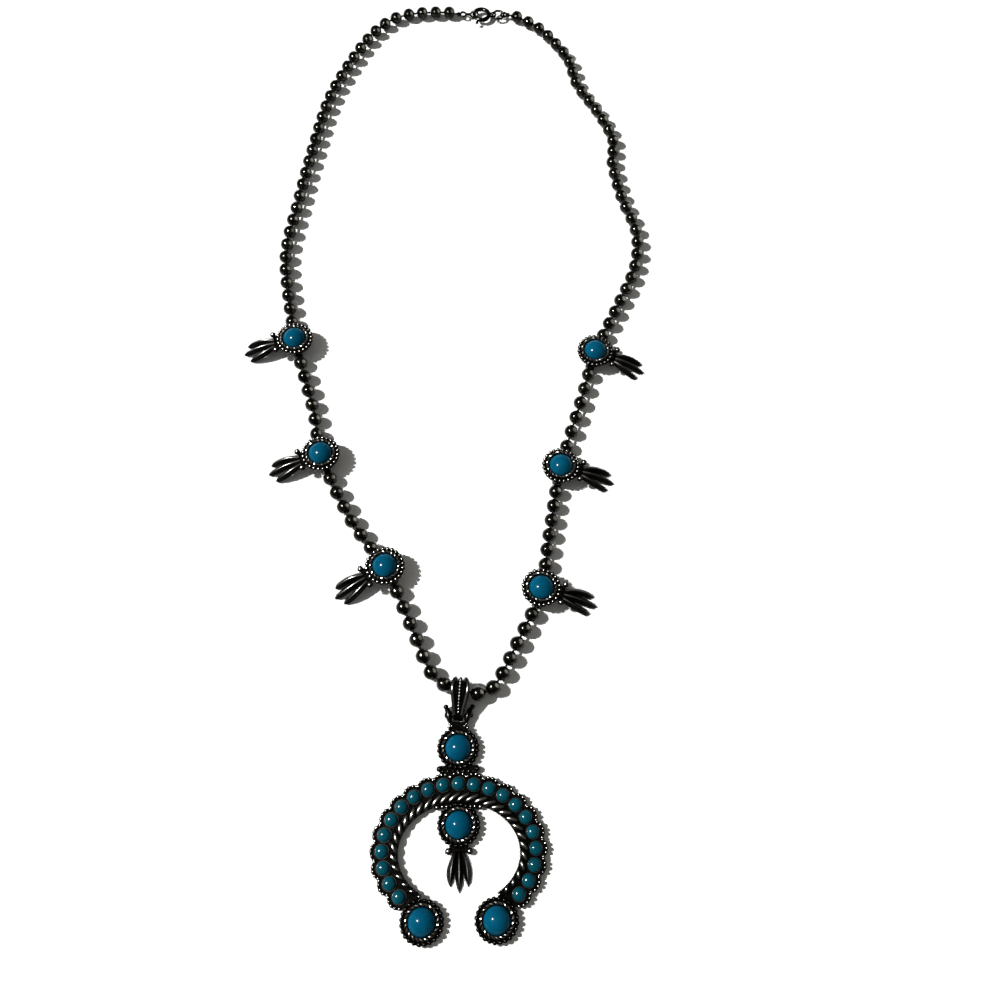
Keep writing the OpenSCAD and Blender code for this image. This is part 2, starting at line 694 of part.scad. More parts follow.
module clasp_lever() color(silver) at_clasp() {
    rotate_extrude(angle = 85, start = gap_from - 5) translate([tube_ring_r, 0]) circle(d = bolt_d);
    rotate(lever_at) translate([tube_ring_r, 0, 0]) rotate([0, 90, 0])
        cylinder(d = stem_d, h = tube_d / 2 + 1.1);
    rotate(lever_at) translate([tube_ring_r + tube_d / 2 + 1.2, 0, 0]) sphere(d = 1.3, $fn = 24);
}

module sleeve(way) rotate([0, way * 90, 0]) difference() {
    cylinder(d = sleeve_d, h = sleeve_l);
    translate([0, 0, 0.3]) cylinder(d = thread_d + 0.2, h = sleeve_l);
}

module hook_link() color(silver) {
    translate([hook_x, CLASP_AT[1], clasp_z]) rotate([90, 0, 0]) torus(hook_r, link_wire_d);
    translate([tag_x, CLASP_AT[1], clasp_z]) torus(tag_r, link_wire_d);
    translate([tag_x + tag_r, CLASP_AT[1], clasp_z]) rotate([0, 90, 0])
        cylinder(d = link_wire_d * 1.4, h = hook_x - hook_r - tag_x - tag_r);
    translate([left_end_x + sleeve_l - 0.3, CLASP_AT[1], clasp_z]) sleeve(-1);
}

module jump_ring() color(silver) translate([jump_x, CLASP_AT[1], clasp_z])
    torus(jump_ring_r, jump_wire_d);

module end_loop() color(silver) {
    translate([loop_x, CLASP_AT[1], clasp_z]) rotate([90, 0, 0]) torus(eye_r, link_wire_d);
    translate([right_end_x - sleeve_l + 0.3, CLASP_AT[1], clasp_z]) sleeve(1);
}

module placed() translate([-origin_x, -origin_y, 0]) children();

placed() beads_left();
placed() beads_right();
placed() thread();
placed() pendant_frame();
placed() bail();
for (i = [1:6]) placed() blossom(i);
for (i = [1:6]) placed() blossom_stone(i);
for (i = [1:row_count]) placed() row_stone(i);
placed() top_stone();
placed() drop_stone();
placed() left_end_stone();
placed() right_end_stone();
placed() clasp_ring();
placed() clasp_lever();
placed() hook_link();
placed() jump_ring();
placed() end_loop();
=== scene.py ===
import math

import bmesh
import bpy
import numpy as np
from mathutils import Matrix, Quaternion, Vector


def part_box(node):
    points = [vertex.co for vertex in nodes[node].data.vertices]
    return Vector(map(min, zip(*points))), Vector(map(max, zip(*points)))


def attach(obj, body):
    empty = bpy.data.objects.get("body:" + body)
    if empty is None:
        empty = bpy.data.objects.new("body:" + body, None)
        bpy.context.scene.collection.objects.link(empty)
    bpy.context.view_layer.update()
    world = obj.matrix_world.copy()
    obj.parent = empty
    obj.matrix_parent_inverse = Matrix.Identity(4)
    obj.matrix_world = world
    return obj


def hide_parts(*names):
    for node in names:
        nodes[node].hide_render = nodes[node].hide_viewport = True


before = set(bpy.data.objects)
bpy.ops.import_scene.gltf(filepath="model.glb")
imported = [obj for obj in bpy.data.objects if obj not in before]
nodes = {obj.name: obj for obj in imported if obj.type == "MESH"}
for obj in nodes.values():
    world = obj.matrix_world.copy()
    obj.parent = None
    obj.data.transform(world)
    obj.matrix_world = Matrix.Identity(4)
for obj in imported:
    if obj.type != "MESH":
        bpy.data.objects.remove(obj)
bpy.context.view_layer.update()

# The view. The necklace lies on a table and is seen from over its pendant, so the clasp
# end is farther away and smaller. Lengths are millimetres until a mesh or a place is made.

MM = 0.001
scene = bpy.context.scene

eye = Vector((2.0, -182.6, 316.4)) * MM
aim = Vector((16.8, -46.1, 0)) * MM
camera_roll = math.radians(5.3)

camera = bpy.data.objects.new("camera", bpy.data.cameras.new("camera"))
camera.data.sensor_width = 36
camera.data.lens = 36
camera.data.clip_start = 0.01
camera.data.clip_end = 20
camera.location = eye
camera.rotation_mode = "QUATERNION"
camera.rotation_quaternion = (aim - eye).to_track_quat("-Z", "Y") @ Quaternion((0, 0, 1), camera_roll)
scene.collection.objects.link(camera)
scene.camera = camera
scene.view_settings.view_transform = "Standard"

# The table and the light. One lamp, halfway up on the left, throws crisp grey shadows to the
# right. A small second one gives stones and metal their bright points, and a white card on the
# right is mirrored in the beads alone.

table_half = 3.0
table_z = -0.00003
table_mesh = bpy.data.meshes.new("table")
table_mesh.from_pydata(
    [(-table_half, -table_half, table_z), (table_half, -table_half, table_z),
     (table_half, table_half, table_z), (-table_half, table_half, table_z)],
    [], [(0, 1, 2, 3)])
table = bpy.data.objects.new("table", table_mesh)
scene.collection.objects.link(table)


def shader(name):
    """A new material, its tree and its Principled shader."""
    material = bpy.data.materials.new(name)
    material.use_nodes = True
    tree = material.node_tree
    return material, tree, tree.nodes["Principled BSDF"]


def wire(tree, kind, settings=(), **inputs):
    """One node; each input is a value or another node's output socket."""
    made = tree.nodes.new(kind)
    for key, value in settings:
        setattr(made, key, value)
    for key, value in inputs.items():
        socket = made.inputs[int(key[1:])] if key[0] == "i" and key[1:].isdigit() else made.inputs[key]
        if isinstance(value, bpy.types.NodeSocket):
            tree.links.new(value, socket)
        else:
            socket.default_value = value
    return made


def place_of(tree):
    """The point of the surface, in metres from the part's origin."""
    return tree.nodes.new("ShaderNodeTexCoord").outputs["Object"]


def ramp(tree, factor, stops):
    """A colour ramp over the factor; stops are (place, colour)."""
    made = wire(tree, "ShaderNodeValToRGB", Fac=factor)
    elements = made.color_ramp.elements
    while len(elements) < len(stops):
        elements.new(0.5)
    for element, (place, colour) in zip(elements, stops):
        element.position = place
        element.color = (*colour, 1)
    return made.outputs["Color"]


paper, _, paper_shader = shader("table_paper")
paper_shader.inputs["Base Color"].default_value = (0.92, 0.92, 0.91, 1)
paper_shader.inputs["Roughness"].default_value = 0.9
paper_shader.inputs["Specular IOR Level"].default_value = 0.1
table_mesh.materials.append(paper)


def lamp(name, kind, from_xyz, energy, size):
    """A light that shines from a place in mm to the origin; its size is in mm, a sun's in degrees."""
    light = bpy.data.lights.new(name, kind)
    light.energy = energy
    if kind == "SUN":
        light.angle = math.radians(size)
    else:
        light.shape = "DISK"
        light.size = size * MM
    holder = bpy.data.objects.new(name, light)
    holder.location = Vector(from_xyz) * MM
    holder.rotation_mode = "QUATERNION"
    holder.rotation_quaternion = Vector(from_xyz).to_track_quat("Z", "Y")
    scene.collection.objects.link(holder)
    return holder


key = lamp("key_lamp", "SUN", from_xyz=(-820, 150, 830), energy=5.2, size=3.0)
key.visible_glossy = False
glint = lamp("glint_lamp", "AREA", from_xyz=(-330, -60, 480), energy=20.0, size=36)
glint.visible_diffuse = False
card = lamp("white_card", "AREA", from_xyz=(590, 150, 330), energy=16.0, size=800)
card.visible_diffuse = False
mirrors_card = bpy.data.collections.new("mirrors_card")
card.light_linking.receiver_collection = mirrors_card

world = bpy.data.worlds.new("room")
scene.world = world
world.use_nodes = True
room = world.node_tree.nodes["Background"]
room.inputs["Color"].default_value = (0.160, 0.158, 0.150, 1)
room.inputs["Strength"].default_value = 1.0

# Beads. Round silver beads of two pressed halves soldered at the middle, polished and then
# darkened; each is drilled for the thread. They lie where the strung solids lie.

bead_r = 2.4
bead_hole_r = 0.85
bead_sides = 36
seam_depth = 0.035
seam_degrees = 2.2
hole_bevel = 0.06
hole_lip = 0.1


def revolve(profile, sides, closed=True):
    """Points and faces of a profile of (radius, height) turned about Z."""
    profile = np.asarray(profile, float)
    turn = np.arange(sides) * 2 * math.pi / sides
    points = np.concatenate([
        np.c_[profile[:, 0] * math.cos(a), profile[:, 0] * math.sin(a), profile[:, 1]] for a in turn])
    rows = len(profile)
    last = rows if closed else rows - 1
    faces = [(i * rows + j, ((i + 1) % sides) * rows + j,
              ((i + 1) % sides) * rows + (j + 1) % rows, i * rows + (j + 1) % rows)
             for i in range(sides) for j in range(last)]
    return points, faces


def moved(shape, rotation=None, to=(0, 0, 0), size=1.0):
    """A shape turned by a 3 by 3 matrix, scaled, and put in its place."""
    points, faces = shape
    points = points * size
    if rotation is not None:
        points = points @ np.asarray(rotation, float).T
    return points + np.asarray(to, float), faces


def joined(shapes):
    """Several shapes as one list of points and one of faces."""
    points, faces, start = [], [], 0
    for p, f in shapes:
        points.append(p)
        faces.extend([tuple(i + start for i in face) for face in f])
        start += len(p)
    return np.concatenate(points), faces


def piece(name, shapes, material, body="necklace", crease=40):
    """A Blender object of the shapes, which rides on the necklace."""
    points, faces = joined(shapes)
    mesh = bpy.data.meshes.new(name)
    mesh.from_pydata((points * MM).tolist(), [], faces)
    cleaner = bmesh.new()
    cleaner.from_mesh(mesh)
    bmesh.ops.remove_doubles(cleaner, verts=cleaner.verts, dist=2e-7)
    bmesh.ops.dissolve_degenerate(cleaner, edges=cleaner.edges, dist=1e-8)
    bmesh.ops.recalc_face_normals(cleaner, faces=cleaner.faces)
    cleaner.to_mesh(mesh)
    cleaner.free()
    mesh.shade_smooth()
    mesh.set_sharp_from_angle(angle=math.radians(crease))
    mesh.materials.append(material)
    made = bpy.data.objects.new(name, mesh)
    scene.collection.objects.link(made)
    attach(made, body)
    return made


def bead_shape():
    """A round bead along Z, with a bevelled hole and a fine groove where its halves meet."""
    rim = math.sqrt(bead_r ** 2 - bead_hole_r ** 2)
    edge = math.degrees(math.asin(bead_hole_r / bead_r))
    bevel_z = rim - hole_lip - hole_bevel
    profile = [(bead_hole_r + hole_bevel, bevel_z), (bead_hole_r, rim - hole_lip)]
    for a in np.linspace(edge + 2.5, 180 - edge - 2.5, 27):
        r = bead_r - seam_depth * math.exp(-((a - 90) / seam_degrees) ** 2)
        profile.append((r * math.sin(math.radians(a)), r * math.cos(math.radians(a))))
    profile += [(bead_hole_r, hole_lip - rim), (bead_hole_r + hole_bevel, -bevel_z)]
    return revolve(profile, bead_sides)


def solids_of(node):
    """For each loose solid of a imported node: its middle, and its inward faces' normals."""
    mesh = bmesh.new()
    mesh.from_mesh(nodes[node].data)
    bmesh.ops.remove_doubles(mesh, verts=mesh.verts, dist=1e-6)
    mesh.normal_update()
    mesh.verts.ensure_lookup_table()
    seen, found = set(), []
    for first in mesh.verts:
        if first.index in seen:
            continue
        seen.add(first.index)
        island, waiting = [], [first]
        while waiting:
            vert = waiting.pop()
            island.append(vert)
            for edge in vert.link_edges:
                other = edge.other_vert(vert)
                if other.index not in seen:
                    seen.add(other.index)
                    waiting.append(other)
        corners = np.array([v.co for v in island])
        middle = (corners.min(0) + corners.max(0)) / 2
        # each face once, in a fixed order: a set's order changes from run to run
        faces = dict.fromkeys(f for v in island for f in v.link_faces)
        inward = [f.normal[:] for f in faces if f.normal.dot(f.calc_center_median() - Vector(middle)) < 0]
        found.append((middle / MM, np.array(inward)))
    mesh.free()
    return found


def turned_to(axis, roll):
    """A rotation that brings Z onto the axis, after a turn about Z."""
    lift = Vector(axis).to_track_quat("Z", "Y") @ Quaternion((0, 0, 1), roll)
    return np.array(lift.to_matrix())


bead_metal, tree, surface = shader("bead_silver")
smudge = wire(tree, "ShaderNodeTexNoise", Vector=place_of(tree), Scale=420.0, Detail=4.0, Roughness=0.55)
scuff = wire(tree, "ShaderNodeTexNoise", Vector=place_of(tree), Scale=5200.0, Detail=3.0)
tone = ramp(tree, smudge.outputs["Fac"], [(0.32, (0.005, 0.0049, 0.0042)), (0.68, (0.028, 0.027, 0.0225))])
tree.links.new(tone, surface.inputs["Base Color"])
shine = wire(tree, "ShaderNodeMapRange", Value=smudge.outputs["Fac"], **{"To Min": 0.10, "To Max": 0.24})
tree.links.new(shine.outputs["Result"], surface.inputs["Roughness"])
dents = wire(tree, "ShaderNodeBump", Strength=0.12, Distance=0.00005, Height=scuff.outputs["Fac"])
tree.links.new(dents.outputs["Normal"], surface.inputs["Normal"])
surface.inputs["Metallic"].default_value = 1.0

rng = np.random.default_rng(4)
one_bead = bead_shape()
for side in ("left", "right"):
    strung = []
    for middle, inward in solids_of("beads_" + side):
        axis = np.linalg.svd(inward)[2][2]
        # either end of the hole would do, so it is always the one toward +Y
        axis = axis if axis[1] > 0 else -axis
        strung.append(moved(one_bead, turned_to(axis, rng.uniform(0, 2 * math.pi)), middle))
    beads = piece("bead_string_" + side, strung, bead_metal, crease=50)
    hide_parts("beads_" + side)
    mirrors_card.objects.link(beads)

# Thread. A waxed beading thread of two twisted plies runs through every bead; its near-black colour is
# painted shade for the gaps where the beads nearly touch.

thread_painted_shade, tree, surface = shader("waxed_thread_painted_shade")
plies = wire(tree, "ShaderNodeTexWave", (("wave_type", "BANDS"), ("bands_direction", "DIAGONAL")),
             Vector=place_of(tree), Scale=900.0, Distortion=1.5)
# near-black plies: painted shade in the gaps between the beads
tree.links.new(ramp(tree, plies.outputs["Fac"], [(0.2, (0.004, 0.004, 0.004)), (0.8, (0.018, 0.017, 0.015))]),
               surface.inputs["Base Color"])
ridges = wire(tree, "ShaderNodeBump", Strength=0.5, Distance=0.00006, Height=plies.outputs["Fac"])
tree.links.new(ridges.outputs["Normal"], surface.inputs["Normal"])
surface.inputs["Roughness"].default_value = 0.75
surface.inputs["Specular IOR Level"].default_value = 0.05


def dress(names, material):
    """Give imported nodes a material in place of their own."""
    for name in names:
        mesh = nodes[name].data
        mesh.materials.clear()
        mesh.materials.append(material)


dress(["thread"], thread_painted_shade)

# Stones. Plain blue domes, cut round and polished, with only a slight cloudiness; the small
# ones of the row are a little greener. Each sits in its collar.

large_names = [f"blossom_stone_{i}" for i in range(1, 7)] + [
    "top_stone", "drop_stone", "left_end_stone", "right_end_stone"]
row_names = [f"row_stone_{i}" for i in range(1, 22)]


def polished_stone(name, deep, light, gloss):
    """Blue stone, cloudy between two colours; gloss is its refractive index."""
    material, tree, surface = shader(name)
    cloud = wire(tree, "ShaderNodeTexNoise", Vector=place_of(tree), Scale=260.0, Detail=5.0, Roughness=0.6)
    blue = ramp(tree, cloud.outputs["Fac"], [(0.32, deep), (0.68, light)])
    tree.links.new(blue, surface.inputs["Base Color"])
    pits = wire(tree, "ShaderNodeTexNoise", Vector=place_of(tree), Scale=2600.0, Detail=2.0)
    relief = wire(tree, "ShaderNodeBump", Strength=0.03, Distance=0.00004, Height=pits.outputs["Fac"])
    tree.links.new(relief.outputs["Normal"], surface.inputs["Normal"])
    surface.inputs["Roughness"].default_value = 0.14
    surface.inputs["IOR"].default_value = gloss
    return material


dress(large_names, polished_stone("turquoise_dome", (0.000, 0.055, 0.106), (0.001, 0.072, 0.132), 1.14))
small_blue = polished_stone("turquoise_bead", (0.000, 0.043, 0.063), (0.001, 0.061, 0.086), 1.24)

# Blossoms. Each is a cast and soldered silver flower: a tube behind for the thread, a round
# plate, a collar with a twisted wire, a ring of grains, a neck with two balls, three petals.
# It was dipped dark, so its hollows stay black; where its faces point up it is painted bright, a painted
# highlight along with some real rubbing.

seat_r = 4.08
collar_h = 0.7
seat_depth = 0.4
stone_play = 0.04
wire_ring_r = 4.68
strand_r = 0.36
twist_r = 0.30
twists = 11
grain_d = 1.42
grain_ring_r = 5.95
grain_count = 24
plate_r = 6.3
blossom_plate_t = 1.2
shank_r = 1.7
shank_l = 12.4
shank_z = -1.4
petal_reach = 19.0
petal_w = 2.5
petal_h = 1.5
petal_tip_x = 3.0
petal_step = 1.7
finger_crest = 0.24
leaf_crest = 0.20
neck_out = 1.0
neck_ball_d = 2.0
neck_ball_span = 6.4
setting_r = 6.4


def ball(at, d, sides=16):
    """A ball of diameter d round a point."""
    rows = sides // 2 + 1
    arc = np.linspace(0, math.pi, rows)
    profile = np.c_[np.sin(arc), np.cos(arc)] * d / 2
    return moved(revolve(profile, sides, closed=False), to=at)


def sweep(path, radii, sides=8, ring=False):
    """A tube along a path; the radii follow it. A ring closes on itself."""
    path = np.asarray(path, float)
    radii = np.broadcast_to(np.asarray(radii, float), len(path))
    if ring:
        ahead = np.roll(path, -1, 0) - np.roll(path, 1, 0)
    else:
        ahead = np.gradient(path, axis=0)
    ahead /= np.linalg.norm(ahead, axis=1)[:, None]
    up = np.array([0.0, 0.0, 1.0])
    up = up if abs(ahead[0] @ up) < 0.9 else np.array([1.0, 0.0, 0.0])
    points = []
    for p, h, r in zip(path, ahead, radii):
        up = up - h * (up @ h)
        up = up / np.linalg.norm(up)
        across = np.cross(h, up)
        for k in range(sides):
            a = 2 * math.pi * k / sides
            points.append(p + r * (up * math.cos(a) + across * math.sin(a)))
    n = len(path)
    last = n if ring else n - 1
    faces = [(i * sides + k, i * sides + (k + 1) % sides,
              ((i + 1) % n) * sides + (k + 1) % sides, ((i + 1) % n) * sides + k)
             for i in range(last) for k in range(sides)]
    if not ring:
        faces.append(tuple(range(sides - 1, -1, -1)))
        faces.append(tuple((n - 1) * sides + k for k in range(sides)))
    return np.array(points), faces


def loft(rings):
    """A closed skin over rings of points, capped at both ends."""
    sides, n = len(rings[0]), len(rings)
    points = np.concatenate([np.asarray(r, float) for r in rings])
    faces = [(i * sides + k, i * sides + (k + 1) % sides,
              (i + 1) * sides + (k + 1) % sides, (i + 1) * sides + k)
             for i in range(n - 1) for k in range(sides)]
    faces.append(tuple(range(sides - 1, -1, -1)))
    faces.append(tuple((n - 1) * sides + k for k in range(sides)))
    return points, faces


def twisted_ring(ring_r, z):
    """Two strands twisted round each other and bent into a ring."""
    made = []
    steps = twists * 12
    for start in (0, math.pi):
        path = []
        for i in range(steps):
            a = 2 * math.pi * i / steps
            twist = start - twists * a
            r = ring_r + twist_r * math.cos(twist)
            path.append((r * math.cos(a), r * math.sin(a), z + twist_r * math.sin(twist)))
        made.append(sweep(path, strand_r, 8, ring=True))
    return made


def setting(plate_t):
    """A round stone's setting, underside at z = 0: its plate and collar, its grains, its wire."""
    plate = revolve([(0, 0), (plate_r - 0.2, 0), (plate_r, 0.2), (plate_r, plate_t - 0.25),
                     (plate_r - 0.25, plate_t), (0, plate_t)], 48, closed=False)
    top = plate_t + collar_h
    collar = revolve([(seat_r, plate_t - 0.2), (seat_r + 0.2, plate_t - 0.2), (seat_r + 0.2, top - 0.1),
                      (seat_r + 0.12, top), (seat_r + 0.05, top), (seat_r, top - 0.08)], 48)
    grains = []
    for i in range(grain_count):
        a = 2 * math.pi * (i + 0.5) / grain_count
        d = grain_d * rng.uniform(0.94, 1.03)
        grains.append(ball((grain_ring_r * math.cos(a), grain_ring_r * math.sin(a), plate_t - 0.02), d))
    return [plate, collar], grains, twisted_ring(wire_ring_r, plate_t + 0.46)


# share of the length, half width, height and fan of a petal, from its neck to its tip: the
# strung blossoms have fingers with round ends, the hanging one has narrow pointed leaves
FINGER = np.array([
    (0.00, 0.84, 0.40, 0.38), (0.14, 0.92, 0.62, 0.50), (0.32, 0.99, 0.90, 0.68), (0.50, 1.02, 1.04, 0.84),
    (0.68, 1.00, 0.98, 0.94), (0.84, 0.90, 0.80, 0.99), (0.93, 0.68, 0.58, 1.00), (1.00, 0.16, 0.22, 1.00)])
LEAF = np.array([
    (0.00, 0.40, 0.62, 0.26), (0.14, 0.56, 0.84, 0.42), (0.32, 0.80, 1.00, 0.62), (0.50, 0.98, 1.02, 0.77),
    (0.68, 0.98, 0.96, 0.84), (0.84, 0.68, 0.80, 0.87), (0.93, 0.36, 0.52, 0.88), (1.00, 0.04, 0.20, 0.88)])


def between(rows, s):
    """A smooth curve through the rows, read at s."""
    i = int(np.clip(np.searchsorted(rows[:, 0], s) - 1, 0, len(rows) - 2))
    a, b = rows[max(i - 1, 0)], rows[i]
    c, d = rows[i + 1], rows[min(i + 2, len(rows) - 1)]
    t = (s - b[0]) / (c[0] - b[0])
    bend = (2 * a - 5 * b + 4 * c - d) * t ** 2 + (3 * b - a - 3 * c + d) * t ** 3
    return 0.5 * (2 * b + (c - a) * t + bend)


def petal(side, droop, rows, crest_round):
    """One petal, side -1, 0 or 1 of the middle one, ridged along its back; its tip droops."""
    start = setting_r + 0.1
    edge = math.hypot(1, crest_round)
    reach = petal_reach - start - (petal_step if side else 0)
    rings = []
    for s in np.linspace(0, 1, 29):
        row = between(rows, s)
        w, h = petal_w / 2 * row[1], petal_h * row[2]
        x, y, z = side * petal_tip_x * row[3], -start - reach * s, -droop * s ** 1.5
        ring = [(x - w, y, z), (x, y, z), (x + w, y, z)]
        for v in np.linspace(0.97, -0.97, 17):
            lift = (edge - math.hypot(v, crest_round)) / (edge - crest_round)
            ring.append((x + w * v, y, z + h * lift))
        rings.append(ring)
    return loft(rings)


def tail(plate_t, droop, rows, crest_round):
    """Below the setting: the black neck, and the bright petals and neck balls."""
    neck_y = -setting_r - neck_out
    half = neck_ball_span / 2
    low_y, high_y = neck_y - 0.3, neck_y + neck_out + 1.0
    neck = slab([(0.5 - half, low_y), (half - 0.5, low_y), (half - 0.2, high_y), (0.2 - half, high_y)],
                0, plate_t - 0.15, 0.3)
    bright = [petal(side, droop, rows, crest_round) for side in (-1, 0, 1)]
    for side in (-1, 1):
        bright.append(ball((side * half, neck_y, neck_ball_d / 2 + 0.05), neck_ball_d, 20))
    return [neck], bright


def slab(outline, low, high, chamfer=0.15):
    """A flat plate on an outline of (x, y), with its upper edge taken off."""
    outline = np.asarray(outline, float)
    back = outline - np.roll(outline, 1, 0)
    ahead = np.roll(outline, -1, 0) - outline
    back /= np.linalg.norm(back, axis=1)[:, None]
    ahead /= np.linalg.norm(ahead, axis=1)[:, None]
    inward = np.c_[-(back + ahead)[:, 1], (back + ahead)[:, 0]]
    inward /= np.linalg.norm(inward, axis=1)[:, None]
    area = np.sum(outline[:, 0] * np.roll(outline[:, 1], -1) - outline[:, 1] * np.roll(outline[:, 0], -1))
    inner = outline + inward * chamfer * (1 if area > 0 else -1)
    return loft([np.c_[xy, np.full(len(xy), z)]
                 for xy, z in ((outline, low), (outline, high - chamfer), (inner, high))])


def shank():
    """The tube behind a blossom, which the thread runs through."""
    end, bevel = shank_l / 2, 0.15
    tube = revolve([(bead_hole_r, -end), (shank_r - bevel, -end), (shank_r, -end + bevel),
                    (shank_r, end - bevel), (shank_r - bevel, end), (bead_hole_r, end)], 28)
    return moved(tube, [(0, 0, 1), (0, 1, 0), (-1, 0, 0)], (0, 0, shank_z))


# dark silver with black oxide in its hollows and real stains; faces that point up get a lighter colour, a
# painted highlight where the small lamp's bright points fall
rubbed_silver_painted_highlight, tree, surface = shader("rubbed_dark_silver_painted_highlight")
hollow = wire(tree, "ShaderNodeAmbientOcclusion", (("samples", 6),), Distance=0.0009)
stain = wire(tree, "ShaderNodeTexNoise", Vector=place_of(tree), Scale=900.0, Detail=5.0, Roughness=0.6)
stained = wire(tree, "ShaderNodeMath", (("operation", "MULTIPLY_ADD"),),
               i0=stain.outputs["Fac"], i1=0.6, i2=-0.3)
facing = wire(tree, "ShaderNodeSeparateXYZ", Vector=tree.nodes.new("ShaderNodeTexCoord").outputs["Normal"])
faces_up_painted_highlight = wire(tree, "ShaderNodeMapRange", Value=facing.outputs["Z"], **{"From Min": 0.62, "From Max": 0.97})
# the oxide in the hollows times the painted highlight on faces that point up
high = wire(tree, "ShaderNodeMath", (("operation", "MULTIPLY"),),
            i0=hollow.outputs["AO"], i1=faces_up_painted_highlight.outputs["Result"])
wear_and_painted_highlight = wire(tree, "ShaderNodeMath", (("operation", "ADD"), ("use_clamp", True)),
            i0=high.outputs["Value"], i1=stained.outputs["Value"])
# the ramp's brightest stop is mostly the painted highlight; the lower stops are oxide and stains
worn_and_painted_highlight_colour = ramp(tree, wear_and_painted_highlight.outputs["Value"], [
    (0.15, (0.005, 0.0048, 0.0044)), (0.60, (0.024, 0.023, 0.020)), (0.95, (0.160, 0.156, 0.143))])
tree.links.new(worn_and_painted_highlight_colour, surface.inputs["Base Color"])
dull = wire(tree, "ShaderNodeMapRange", Value=wear_and_painted_highlight.outputs["Value"],
            **{"From Min": 0.2, "From Max": 0.95, "To Min": 0.42, "To Max": 0.24})
tree.links.new(dull.outputs["Result"], surface.inputs["Roughness"])
grit = wire(tree, "ShaderNodeTexNoise", Vector=place_of(tree), Scale=4200.0, Detail=3.0)
cast = wire(tree, "ShaderNodeBump", Strength=0.25, Distance=0.00006, Height=grit.outputs["Fac"])
tree.links.new(cast.outputs["Normal"], surface.inputs["Normal"])
surface.inputs["Metallic"].default_value = 1.0

# the same silver where nothing rubs it, left black by the bath
blackened, tree, surface = shader("blackened_silver")
soot = wire(tree, "ShaderNodeTexNoise", Vector=place_of(tree), Scale=1500.0, Detail=5.0, Roughness=0.65)
sooty = ramp(tree, soot.outputs["Fac"], [(0.35, (0.003, 0.0028, 0.0026)), (0.75, (0.020, 0.019, 0.017))])
tree.links.new(sooty, surface.inputs["Base Color"])
rough = wire(tree, "ShaderNodeMapRange", Value=soot.outputs["Fac"], **{"To Min": 0.14, "To Max": 0.27})
tree.links.new(rough.outputs["Result"], surface.inputs["Roughness"])
pitted = wire(tree, "ShaderNodeBump", Strength=0.35, Distance=0.00008, Height=soot.outputs["Fac"])
tree.links.new(pitted.outputs["Normal"], surface.inputs["Normal"])
surface.inputs["Metallic"].default_value = 1.0


def middle_of(node):
    """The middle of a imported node's box, in mm."""
    low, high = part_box(node)
    return np.array((low + high) / 2) / MM


def floor_of(node):
    """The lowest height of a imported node, in mm."""
    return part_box(node)[0].z / MM


for i in range(1, 7):
    middle = middle_of(f"blossom_stone_{i}")
    base = floor_of(f"blossom_stone_{i}") - blossom_plate_t + seat_depth - stone_play
    corners = np.array([v.co for v in nodes[f"blossom_{i}"].data.vertices]) / MM
    reach = np.linalg.norm(corners[:, :2] - middle[:2], axis=1)
    tip = corners[reach > reach.max() - 0.2].mean(0)
    turn = math.atan2(tip[1] - middle[1], tip[0] - middle[0]) + math.pi / 2
    spin = [(math.cos(turn), -math.sin(turn), 0), (math.sin(turn), math.cos(turn), 0), (0, 0, 1)]
    seat, grains, twisted = setting(blossom_plate_t)
    neck, petals = tail(blossom_plate_t, base - 0.15, FINGER, finger_crest)
    at = (middle[0], middle[1], base)
    flower = piece(f"flower_{i}", [moved(s, spin, at) for s in grains + twisted + petals],
                   rubbed_silver_painted_highlight)
    back = piece(f"flower_back_{i}", [moved(s, spin, at) for s in seat + neck + [shank()]],
                 blackened)
    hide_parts(f"blossom_{i}")
    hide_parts(f"blossom_{i}")

# Pendant. A horseshoe of cast and soldered silver: a plate with a row of small collars and
# grains along its scalloped edge, and a thick twisted rope along the inside. A small stone is
# set in each collar.

heart = np.array([1.9, -161.9, 0.0])
row_rx, row_ry, row_cy = 23.0, 19.4, 1.5
opening_rx, opening_ry, opening_cy = 18.2, 14.3, 1.0
band_margin = 1.2
band_end = 142
crescent_t = 1.4
small_dome_rise = 1.35
small_stone_r = 2.0
small_seat_r = 2.03
small_collar_t = 0.27
small_collar_h = 0.5
scallop_r = 3.55
milgrain_r = 3.18
milgrain_d = 1.1
rope_h = 2.9
rope_pitch = 2.55
rope_free = 2.28
rope_slant = math.radians(38)
rope_inset = 0.15


def oval(rx, ry, cy, degrees):
    """Points of an oval, by their angle from its top."""
    a = np.radians(degrees)
    return np.c_[rx * np.sin(a), cy + ry * np.cos(a)]


